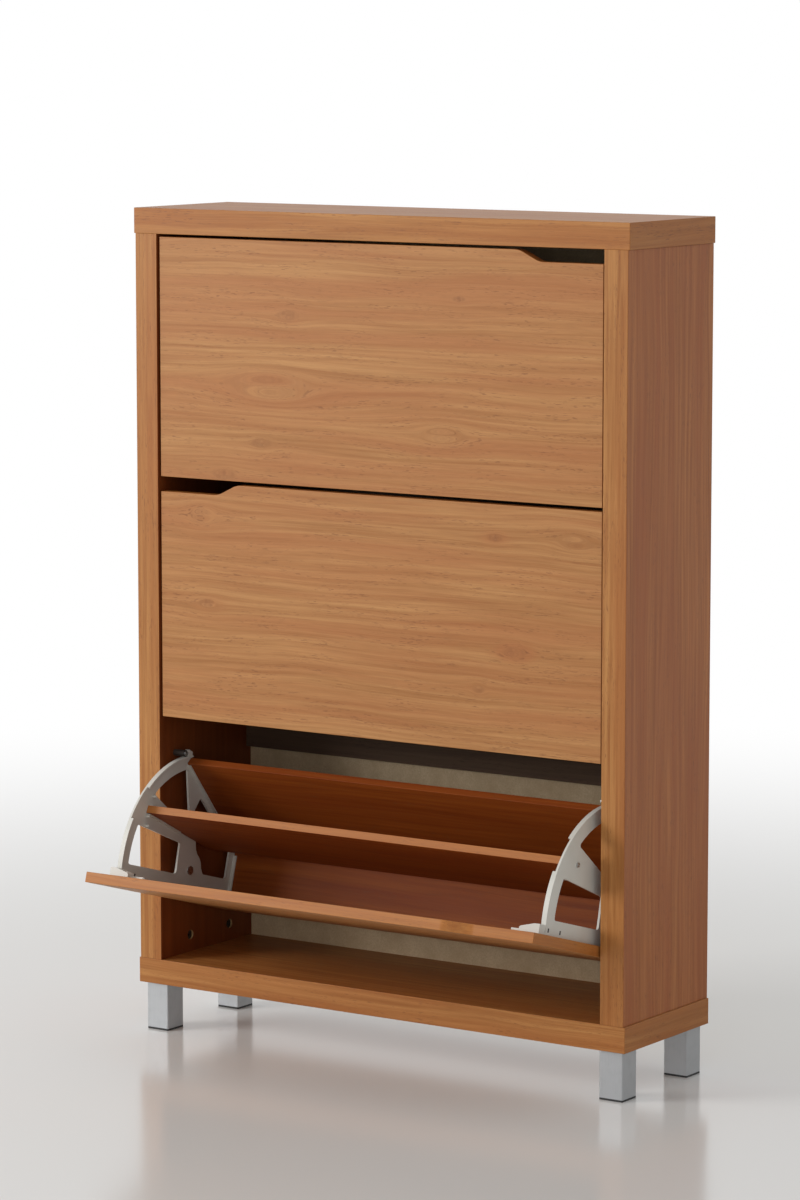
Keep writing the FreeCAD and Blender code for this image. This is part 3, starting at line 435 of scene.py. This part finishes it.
# --- Shaping -------------------------------------------------------------------------------------
class Workpiece:
    """One piece under the tools, shaped in edit mode and finished with modifiers."""

    def __init__(self, item: bpy.types.Object) -> None:
        """Takes the object that is being worked on."""
        self.item = item

    @classmethod
    def slab(cls, name: str, low: Vector, high: Vector) -> "Workpiece":
        """Starts from a cube drawn out to a box.

        Args:
            name: the piece's name.
            low: its lowest corner, in metres.
            high: its highest corner.

        Returns:
            The piece, with its place in its mesh.
        """
        bpy.ops.object.select_all(action="DESELECT")
        middle, size = (low + high) / 2, high - low
        bpy.ops.mesh.primitive_cube_add(size=1)
        piece = cls(bpy.context.active_object)
        piece.item.name = piece.item.data.name = name
        piece.edit()
        bpy.ops.transform.resize(value=size)
        bpy.ops.transform.translate(value=middle)
        piece.done()
        return piece

    @classmethod
    def copy_of(cls, name: str, node: str) -> "Workpiece":
        """Starts from a copy of a machined part, with its loose triangles merged into faces.

        Args:
            name: the piece's name.
            node: the CAD node that is copied.

        Returns:
            The piece.
        """
        bpy.ops.object.select_all(action="DESELECT")
        mesh = NODES[node].data.copy()
        mesh.name = name
        mesh.materials.clear()
        item = bpy.data.objects.new(name, mesh)
        bpy.context.scene.collection.objects.link(item)
        bpy.context.view_layer.objects.active = item
        item.select_set(True)
        piece = cls(item)
        piece.edit()
        bpy.ops.mesh.select_all(action="SELECT")
        bpy.ops.mesh.remove_doubles(threshold=2e-6)
        bpy.ops.mesh.dissolve_limited(angle_limit=math.radians(0.4))
        piece.done()
        return piece

    def edit(self) -> None:
        """Goes into edit mode on this piece alone."""
        bpy.ops.object.select_all(action="DESELECT")
        bpy.context.view_layer.objects.active = self.item
        self.item.select_set(True)
        bpy.ops.object.mode_set(mode="EDIT")

    def done(self) -> None:
        """Leaves edit mode."""
        bpy.ops.object.mode_set(mode="OBJECT")

    def pick_edges(self, test: Callable[[bmesh.types.BMEdge], bool]) -> None:
        """Selects edges.

        Args:
            test: says whether an edge is selected.
        """
        bpy.ops.mesh.select_mode(type="EDGE")
        bpy.ops.mesh.select_all(action="DESELECT")
        shape = bmesh.from_edit_mesh(self.item.data)
        for edge in shape.edges:
            edge.select_set(test(edge))
        bmesh.update_edit_mesh(self.item.data)

    def pick_points(self, test: Callable[[Vector], bool]) -> None:
        """Selects vertices.

        Args:
            test: says whether the vertex at a place is selected.
        """
        bpy.ops.mesh.select_mode(type="VERT")
        bpy.ops.mesh.select_all(action="DESELECT")
        shape = bmesh.from_edit_mesh(self.item.data)
        for point in shape.verts:
            point.select_set(test(point.co))
        shape.select_flush_mode()
        bmesh.update_edit_mesh(self.item.data)

    def split_at(self, point: tuple[float, float, float], normal: tuple[float, float, float]) -> None:
        """Cuts the whole mesh along a plane, so that it can be shaped on either side."""
        bpy.ops.mesh.select_all(action="SELECT")
        bpy.ops.mesh.bisect(plane_co=point, plane_no=normal, threshold=1e-6)

    def round_edges(self, width: float, segments: int = 3, sharper_than: float = 40.0) -> None:
        """Rounds every sharp edge.

        Args:
            width: how far the rounding reaches from the edge, in metres.
            segments: how many facets it has.
            sharper_than: the least angle between two faces, in degrees, that counts as sharp.
        """
        limit = math.radians(sharper_than)
        self.edit()
        self.pick_edges(lambda edge: edge.is_manifold and edge.calc_face_angle(0) > limit)
        bpy.ops.mesh.bevel(offset=width, segments=segments, affect="EDGES", clamp_overlap=True)
        self.done()

    def apply(self, kind: str, **settings: object) -> None:
        """Adds one modifier and applies it.

        Args:
            kind: the modifier's type.
            settings: its own properties.
        """
        bpy.ops.object.modifier_add(type=kind)
        modifier = self.item.modifiers[-1]
        for name, value in settings.items():
            setattr(modifier, name, value)
        bpy.ops.object.modifier_apply(modifier=modifier.name)

    def dress(self, finishes: list[bpy.types.Material],
              choose: Callable[[bpy.types.MeshPolygon], int] | None = None) -> None:
        """Gives the piece its materials.

        Args:
            finishes: the materials, in slot order.
            choose: picks a face's slot; without it every face takes the first.
        """
        for finish in finishes:
            self.item.data.materials.append(finish)
        if choose:
            for face in self.item.data.polygons:
                face.material_index = choose(face)

    def deliver(self, body: str, slot: str, *replaced: str, smooth: float = 35.0) -> bpy.types.Object:
        """Finishes the piece and hands it over to its body.

        Args:
            body: the CAD body that it moves with.
            slot: the record's material slot; not used.
            replaced: the CAD nodes that it stands for.
            smooth: the angle in degrees under which faces shade as one surface.

        Returns:
            The finished object.
        """
        bpy.ops.object.select_all(action="DESELECT")
        bpy.context.view_layer.objects.active = self.item
        self.item.select_set(True)
        bpy.ops.object.shade_smooth_by_angle(angle=math.radians(smooth))
        self.apply("WEIGHTED_NORMAL", keep_sharp=True, weight=100)
        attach(self.item, body)
        if replaced:
            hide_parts(*replaced)
        log.info("%s: %d faces on %s", self.item.name, len(self.item.data.polygons), body)
        return self.item


def paint(node: str, finish: bpy.types.Material) -> None:
    """Gives a CAD node that stays in view its material.

    Args:
        node: the node's name.
        finish: the material.
    """
    item = NODES[node]
    item.data.materials.clear()
    item.data.materials.append(finish)
    log.info("%s keeps its shape in %s", node, finish.name)


# --- The cabinet ---------------------------------------------------------------------------------
@dataclass
class Carcass:
    """The fixed body: two thick boards, two thick sides, rails and the back."""

    board_edge: float = 0.8 * MM
    rail_edge: float = 0.5 * MM
    edge_reach: float = 1.5 * MM
    seeds: dict[str, int] = field(default_factory=lambda: {
        "top_board": 3, "bottom_board": 5, "left_side": 7, "right_side": 8,
        "upper_rear_rail": 11, "lower_rear_rail": 12})

    def build(self) -> None:
        """Builds every panel of the carcass."""
        for node in ("top_board", "bottom_board"):
            self.board(node)
        for node in ("left_side", "right_side"):
            self.side(node)
        for node in ("upper_rear_rail", "lower_rear_rail"):
            self.rail(node)
        paint("back_panel", HARDBOARD.make())

    def board(self, node: str) -> None:
        """Makes a full-width board with its rebate and bores, its ends banded front to back.

        Args:
            node: the board.
        """
        low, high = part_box(node)
        piece = Workpiece.copy_of(f"{node}_panel", node)
        piece.edit()
        piece.pick_edges(lambda edge: sum(
            min(abs(place - a), abs(place - b)) < ON_PLANE
            for place, a, b in zip((edge.verts[0].co + edge.verts[1].co) / 2, low, high)) > 1)
        bpy.ops.mesh.bevel(offset=self.board_edge, segments=3, affect="EDGES", clamp_overlap=True)
        piece.done()
        seed = self.seeds[node]
        piece.dress([CARCASS_WOOD.make(node, Grain.ALONG_X, seed),
                     CARCASS_WOOD.make(f"{node}_ends", Grain.ALONG_Y, seed + 20)],
                    lambda face: int(abs(face.normal.x) > FACING))
        piece.deliver("carcass", "laminate", node)

    def side(self, node: str) -> None:
        """Makes a side panel, with its bores for the fittings.

        Args:
            node: the side.
        """
        piece = Workpiece.copy_of(f"{node}_panel", node)
        # the outer and inner faces take darker, redder copies of the print: painted shade
        piece.dress([CARCASS_WOOD.make(f"{node}_edge", Grain.ALONG_Z, self.seeds[node]),
                     OUTER_SIDE_WOOD_PAINTED_SHADE.make(node, Grain.ALONG_Z, self.seeds[node] + 9),
                     INNER_SIDE_WOOD_PAINTED_SHADE.make(node, Grain.ALONG_Z, self.seeds[node] + 13),
                     BORE_WALL.make(node, Grain.ALONG_X, self.seeds[node] + 17)],
                    self.side_face(node))
        piece.deliver("carcass", "laminate", node)

    def side_face(self, node: str) -> Callable[[bpy.types.MeshPolygon], int]:
        """Gives the choice of finish for a side's faces.

        Args:
            node: the side.

        Returns:
            A function that gives a face's slot: 0 edge, 1 outer face, 2 inner face or 3 bore.
        """
        low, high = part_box(node)
        out = 1 if node == "right_side" else -1

        def slot(face: bpy.types.MeshPolygon) -> int:
            """Picks a face's slot by its place and by which way it looks.

            Args:
                face: a face of the side.

            Returns:
                The slot.
            """
            gaps = [min(abs(place - a), abs(place - b)) for place, a, b in zip(face.center, low, high)]
            if min(gaps) > self.edge_reach:
                return 3
            if abs(face.normal.x) < FACING:
                return 0 if min(gaps[1:]) < self.edge_reach else 3
            return 1 if face.normal.x * out > 0 else 2

        return slot

    def rail(self, node: str) -> None:
        """Makes a rear rail.

        Args:
            node: the rail.
        """
        piece = Workpiece.slab(f"{node}_board", *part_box(node))
        piece.round_edges(self.rail_edge)
        # the rail's dark grey-brown is painted shade
        piece.dress([RAIL_BOARD_PAINTED_SHADE.make(node, Grain.ALONG_X, self.seeds[node])])
        piece.deliver("carcass", "drawer_laminate", node)


class GripEnd(Enum):
    """The end of a front's top edge that has the finger cut."""

    LEFT = -1
    RIGHT = 1


@dataclass
class Drawer:
    """One tip-out drawer: its front, two brackets and three boards.

    Its lean is the angle, in radians, by which it rests open. The front's low edge and outside, the slots'
    middle and the pegs are placed from the pins.
    """

    tier: str
    grip: GripEnd
    seed: int
    lean: float
    pivot_z: float
    knots: tuple[Knot, ...] = ()
    pivot_y: float = 28.237 * MM
    front_low: float = -124.0 * MM
    front_outside: float = -48.5 * MM
    front_size: tuple[float, float, float] = (792.6 * MM, 16.0 * MM, 366.5 * MM)
    front_edge: float = 0.8 * MM
    grip_depth: float = 17.0 * MM
    grip_length: float = 108.0 * MM
    grip_slope: float = 35.0 * MM
    grip_rounding: float = 30.0 * MM
    mould_radius: float = 0.45 * MM
    slot_middle: tuple[float, float, float] = (384.25 * MM, -25.1 * MM, 172.0 * MM)
    slot_step: float = 33.0 * MM
    # black blocks in the leg slots, painted in as the shade inside them
    shade_block_size: tuple[float, float, float] = (3.8 * MM, 5.9 * MM, 3.5 * MM)
    shade_block_edge: float = 0.3 * MM
    web_face: float = 382.5 * MM
    pegs: tuple[tuple[float, float], ...] = ((100.0 * MM, 125.0 * MM), (68.0 * MM, 133.5 * MM),
                                             (53.5 * MM, 132.0 * MM))
    peg_radius: float = 1.9 * MM
    peg_reach: float = 7.0 * MM

    @property
    def body(self) -> str:
        """The CAD body of this drawer."""
        return f"{self.tier}_drawer"

    def tip(self, piece: Workpiece) -> None:
        """Turns a piece that was made shut about the drawer's pins to where it rests.

        Args:
            piece: the piece, out of edit mode.
        """
        piece.edit()
        bpy.ops.mesh.select_all(action="SELECT")
        if self.lean:
            bpy.ops.transform.rotate(value=-self.lean, orient_axis="X", orient_type="GLOBAL",
                                     center_override=(0, self.pivot_y, self.pivot_z))
        piece.done()

    def build(self) -> None:
        """Builds the whole drawer."""
        self.front()
        for part in ("divider", "rear_board", "bottom_board"):
            self.board(part)
        plastic = BRACKET_ABS.make()
        for hand in ("left", "right"):
            self.bracket(hand, plastic)
        self.slot_shade_blocks(PAD_AND_SLOT_SHADE_BLACK.make())
        for number, place in enumerate(self.pegs, 1):
            self.peg(number, place, plastic)

    def bracket(self, hand: str, plastic: bpy.types.Material) -> None:
        """Makes a moulded bracket, its sharp edges softened as they leave a mould.

        Args:
            hand: the bracket's side, left or right.
            plastic: its material.
        """
        node = f"{self.tier}_{hand}_bracket"
        piece = Workpiece.copy_of(f"{node}_moulding", node)
        piece.round_edges(self.mould_radius, segments=2)
        piece.dress([plastic])
        piece.deliver(self.body, "bracket_plastic", node)

    def slot_shade_blocks(self, shade_black: bpy.types.Material) -> None:
        """Makes small black blocks in the slots of both brackets' legs: painted shade standing in for the
        dark inside the slots.

        Args:
            shade_black: their material.
        """
        right, forward, up = self.slot_middle
        middle = Vector((right, self.pivot_y + forward, self.pivot_z + up))
        half = Vector(self.shade_block_size) / 2
        piece = Workpiece.slab(f"{self.tier}_leg_buffers", middle - half, middle + half)
        piece.round_edges(self.shade_block_edge, segments=2)
        piece.edit()
        for step in ((0, 0, -self.slot_step), (-2 * right, 0, 0)):
            bpy.ops.mesh.select_all(action="SELECT")
            bpy.ops.mesh.duplicate()
            bpy.ops.transform.translate(value=step)
        piece.done()
        self.tip(piece)
        piece.dress([shade_black])
        piece.deliver(self.body, "dark_plastic")

    def peg(self, number: int, place: tuple[float, float], plastic: bpy.types.Material) -> None:
        """Makes a round-ended peg on both brackets' inner faces, beside the divider's end.

        Args:
            number: which peg it is.
            place: its axis's Y and Z from the pins.
            plastic: the brackets' material.
        """
        bpy.ops.object.select_all(action="DESELECT")
        bpy.ops.mesh.primitive_cylinder_add(vertices=20, radius=self.peg_radius, depth=self.peg_reach)
        piece = Workpiece(bpy.context.active_object)
        piece.item.name = piece.item.data.name = f"{self.tier}_bracket_pegs_{number}"
        piece.round_edges(0.6 * self.peg_radius, segments=3, sharper_than=60.0)
        middle = self.web_face - self.peg_reach / 2
        piece.edit()
        bpy.ops.mesh.select_all(action="SELECT")
        bpy.ops.transform.rotate(value=math.pi / 2, orient_axis="Y", orient_type="GLOBAL",
                                 center_override=(0, 0, 0))
        bpy.ops.transform.translate(value=(middle, self.pivot_y + place[0], self.pivot_z + place[1]))
        bpy.ops.mesh.duplicate()
        bpy.ops.transform.translate(value=(-2 * middle, 0, 0))
        piece.done()
        self.tip(piece)
        piece.dress([plastic])
        piece.deliver(self.body, "bracket_plastic")

    def front(self) -> None:
        """Makes the front board, with its finger cut and its banded edges."""
        width, thick, height = self.front_size
        low = Vector((-width / 2, self.pivot_y + self.front_outside, self.pivot_z + self.front_low))
        piece = Workpiece.slab(f"{self.tier}_front_board", low, low + Vector((width, thick, height)))
        hand = self.grip.value
        top = low.z + height
        start = hand * (width / 2 - self.grip_length)
        stop = start - hand * self.grip_slope
        piece.edit()
        for place in (start, stop):
            piece.split_at((place, 0, 0), (1, 0, 0))
        piece.pick_points(lambda co: co.z > top - ON_PLANE and hand * (co.x - start) > -ON_PLANE)
        bpy.ops.transform.translate(value=(0, 0, -self.grip_depth))
        turn = math.atan2(self.grip_depth, self.grip_slope)
        corners = (Vector((start, 0, top - self.grip_depth)), Vector((stop, 0, top)))
        piece.pick_edges(lambda edge: all(
            any(abs(v.co.x - c.x) < ON_PLANE and abs(v.co.z - c.z) < ON_PLANE for c in corners)
            for v in edge.verts) and abs(edge.verts[0].co.y - edge.verts[1].co.y) > thick / 2)
        bpy.ops.mesh.bevel(offset=self.grip_rounding * math.tan(turn / 2), segments=6, affect="EDGES",
                           clamp_overlap=False)
        piece.done()
        piece.round_edges(self.front_edge)
        self.tip(piece)
        out = Euler((self.lean, 0, 0)).to_matrix()
        pivot = (self.pivot_y, self.pivot_z)
        piece.dress([FRONT_WOOD.make(f"{self.tier}", Grain.ALONG_X, self.seed, self.knots,
                                     self.lean, pivot),
                     EDGE_WOOD.make(f"{self.tier}_front_top", Grain.ALONG_X, self.seed + 30),
                     EDGE_WOOD.make(f"{self.tier}_front_ends", Grain.ALONG_Z, self.seed + 31, (),
                                    self.lean, pivot)],
                    lambda face: self.front_face(face, out))
        piece.deliver(self.body, "laminate", f"{self.tier}_front")

    @staticmethod
    def front_face(face: bpy.types.MeshPolygon, turn: Matrix) -> int:
        """Picks a front's slot by which way a face looked when the drawer was shut.

        Args:
            face: a face of the front.
            turn: the turn from shut to where it rests.

        Returns:
            The slot: 0 face, 1 upper or lower edge or 2 end.
        """
        looks = turn.transposed() @ face.normal
        if abs(looks.y) > FACING:
            return 0
        return 1 if abs(looks.z) > abs(looks.x) else 2

    def board(self, part: str) -> None:
        """Makes a board between the brackets; only the divider's edges have a paler band.

        Args:
            part: which board it is.
        """
        node = f"{self.tier}_{part}"
        piece = Workpiece.copy_of(f"{node}_panel", node)
        areas = sorted(piece.item.data.polygons, key=lambda face: -face.area)
        flat = areas[0].normal.copy()
        seed = self.seed + {"divider": 40, "rear_board": 50, "bottom_board": 60}[part]
        # the drawer boards' deep red-brown is partly painted shade from inside the drawer
        piece.dress([DRAWER_WOOD_AND_PAINTED_SHADE.make(node, Grain.ALONG_X, seed),
                     EDGE_WOOD.make(f"{node}_edge", Grain.ALONG_X, seed + 5)],
                    lambda face: int(part == "divider" and abs(face.normal.dot(flat)) < 0.5
                                     and abs(face.normal.x) < 0.5))
        piece.deliver(self.body, "drawer_laminate", node)


@dataclass
class Fittings:
    """The feet and the small hardware."""

    tiers: tuple[str, ...] = ("upper", "middle", "lower")
    cam_below_face: float = 3.0 * MM
    cam_face_depth: float = 3.0 * MM

    def build(self) -> None:
        """Gives every fitting its finish."""
        aluminium, black, dark = SATIN_ALUMINIUM.make(), PAD_AND_SLOT_SHADE_BLACK.make(), DARK_NYLON.make()
        zinc, steel = ZINC.make(), STEEL.make()
        beech = BEECH.make("pin", Grain.ALONG_Z, 2)
        for end in ("front", "rear"):
            for hand in ("left", "right"):
                paint(f"{end}_{hand}_foot", aluminium)
                paint(f"{end}_{hand}_foot_pad", black)
        for node in ("cam_bolts", "stop_screws", "foot_screws", "back_nails"):
            paint(node, zinc)
        # the cams' dark zinc is partly painted shade
        self.cams(CAM_ZINC_AND_PAINTED_SHADE.make())
        for node in ("dowels", "rail_dowels"):
            paint(node, beech)
        for node in ("pivot_bushes", "stop_sleeves"):
            paint(node, dark)
        for tier in self.tiers:
            paint(f"{tier}_pivot_pins", steel)
            paint(f"{tier}_board_screws", zinc)
            paint(f"{tier}_front_screws", zinc)

    def cams(self, cast: bpy.types.Material) -> None:
        """Makes the cam locks, turned home a little below the sides' inner faces.

        Args:
            cast: their material.
        """
        piece = Workpiece.copy_of("cam_lock_castings", "cam_locks")
        face = min(abs(corner.x) for corner in (v.co for v in piece.item.data.vertices))
        piece.edit()
        for hand in (-1, 1):
            piece.pick_points(lambda co: abs(hand * co.x - face) < self.cam_face_depth)
            bpy.ops.transform.translate(value=(hand * self.cam_below_face, 0, 0))
        piece.done()
        piece.dress([cast])
        piece.deliver("carcass", "zinc", "cam_locks")


# --- The studio ----------------------------------------------------------------------------------
@dataclass
class Studio:
    """The floor, the lamps, the white surroundings and the camera."""

    camera_at: tuple[float, float, float] = (3.7374, -5.4839, 1.5797)
    camera_pitch: float = math.radians(7.505)
    camera_yaw: float = math.radians(34.043)
    lens: float = 134.49
    floor_radius: float = 9.0
    ambient: float = 0.46

    def build(self) -> None:
        """Sets the studio up."""
        self.camera()
        self.surroundings()
        self.floor()
        self.lamp("key", (-4.2, -3.9, 2.2), 2.4, 178.0)
        self.lamp("fill", (2.6, -4.8, 1.6), 2.0, 20.0)
        bpy.context.scene.view_settings.view_transform = "Standard"

    def camera(self) -> None:
        """Places the camera."""
        data = bpy.data.cameras.new("camera")
        data.lens, data.sensor_width = self.lens, 36.0
        data.clip_start, data.clip_end = 0.05, 100.0
        item = bpy.data.objects.new("camera", data)
        item.location = self.camera_at
        item.rotation_euler = (math.pi / 2 - self.camera_pitch, 0, self.camera_yaw)
        bpy.context.scene.collection.objects.link(item)
        bpy.context.scene.camera = item

    def surroundings(self) -> None:
        """White where the camera, metal or glass looks, and a plain soft grey as light."""
        world = bpy.data.worlds.new("surroundings")
        world.use_nodes = True
        tree = world.node_tree
        tree.nodes.clear()
        seen = self.seen_directly(tree)
        colour = add_node(tree, "Mix", {0: seen, 6: (self.ambient,) * 3 + (1,), 7: (1, 1, 1, 1)},
                          data_type="RGBA")
        glow = add_node(tree, "Background", {"Color": colour})
        add_node(tree, "OutputWorld", {0: glow})
        bpy.context.scene.world = world

    @staticmethod
    def seen_directly(tree: bpy.types.NodeTree) -> bpy.types.NodeSocket:
        """Tells rays that see a surface from rays that only light it.

        Args:
            tree: the tree that the nodes go into.

        Returns:
            1 for a camera, glossy or transmission ray.
        """
        rays = add_node(tree, "LightPath").node.outputs
        most = add_node(tree, "Math", {0: rays["Is Camera Ray"], 1: rays["Is Glossy Ray"]},
                        operation="MAXIMUM")
        return add_node(tree, "Math", {0: most, 1: rays["Is Transmission Ray"]}, operation="MAXIMUM")

    def floor(self) -> None:
        """A pale, slightly glossy floor that fades into the white surroundings."""
        bpy.ops.object.select_all(action="DESELECT")
        bpy.ops.mesh.primitive_circle_add(vertices=96, radius=self.floor_radius, fill_type="NGON")
        item = bpy.context.active_object
        item.name = "studio_floor"
        material, tree = new_material("polished_floor")
        place = add_node(tree, "TexCoord").node.outputs["Object"]
        far = add_node(tree, "VectorMath", {0: place}, operation="LENGTH").node.outputs["Value"]
        fade = add_node(tree, "MapRange", {"Value": far, "From Min": 0.9, "From Max": 3.4},
                        interpolation_type="SMOOTHSTEP")
        seen = self.seen_directly(tree)
        share = add_node(tree, "Math", {0: fade, 1: seen}, operation="MULTIPLY")
        shader = add_node(tree, "BsdfPrincipled", {
            "Base Color": linear("#EFEEEB"), "Roughness": 0.16, "IOR": 1.45})
        glow = add_node(tree, "Emission", {"Color": (1, 1, 1, 1), "Strength": 1.0})
        mixed = add_node(tree, "MixShader", {0: share, 1: shader, 2: glow})
        add_node(tree, "OutputMaterial", {0: mixed})
        item.data.materials.append(material)

    @staticmethod
    def lamp(name: str, place: tuple[float, float, float], size: float, power: float) -> None:
        """Hangs a square soft lamp that faces the middle of the cabinet.

        Args:
            name: the lamp's name.
            place: where it hangs, in metres.
            size: its edge in metres.
            power: its power in watts.
        """
        data = bpy.data.lights.new(name, "AREA")
        data.energy, data.size = power, size
        item = bpy.data.objects.new(name, data)
        item.location = place
        aim = Vector((0, 0, 0.65)) - Vector(place)
        item.rotation_euler = aim.to_track_quat("-Z", "Y").to_euler()
        bpy.context.scene.collection.objects.link(item)


def main() -> None:
    """Builds the cabinet and the studio, in order."""
    logging.basicConfig(level=logging.INFO, format="%(name)s: %(message)s")
    Studio().build()
    Carcass().build()
    open_angle = math.radians(74.0)
    drawers = (
        Drawer("upper", GripEnd.RIGHT, 1, 0.0, 994.0 * MM, (
            Knot(-157, 1126, 9, heart=0.35, wing=0.5), Knot(-190, 1018, 26, stretch=3.4, heart=0.12),
            Knot(-207, 931, 8, heart=0.4), Knot(-276, 879, 10, heart=0.4, wing=0.4),
            Knot(150, 1161, 5, heart=0.5), Knot(120, 960, 14, stretch=3.0, heart=0.12))),
        Drawer("middle", GripEnd.LEFT, 2, 0.0, 621.5 * MM, (
            Knot(-318, 815, 14, stretch=2.0, heart=0.15), Knot(-308, 680, 8, heart=0.4, wing=0.4),
            Knot(214, 815, 6, heart=0.55, wing=0.5), Knot(350, 817, 12, stretch=2.6, heart=0.1),
            Knot(249, 649, 9, heart=0.3, wing=0.9), Knot(185, 589, 7, stretch=1.6, heart=0.3))),
        Drawer("lower", GripEnd.RIGHT, 3, open_angle, 249.0 * MM, (
            Knot(-210, 300, 10, heart=0.4, wing=0.5), Knot(160, 210, 8, heart=0.4))),
    )
    for drawer in drawers:
        drawer.build()
    Fittings().build()


if __name__ == "__main__":
    main()
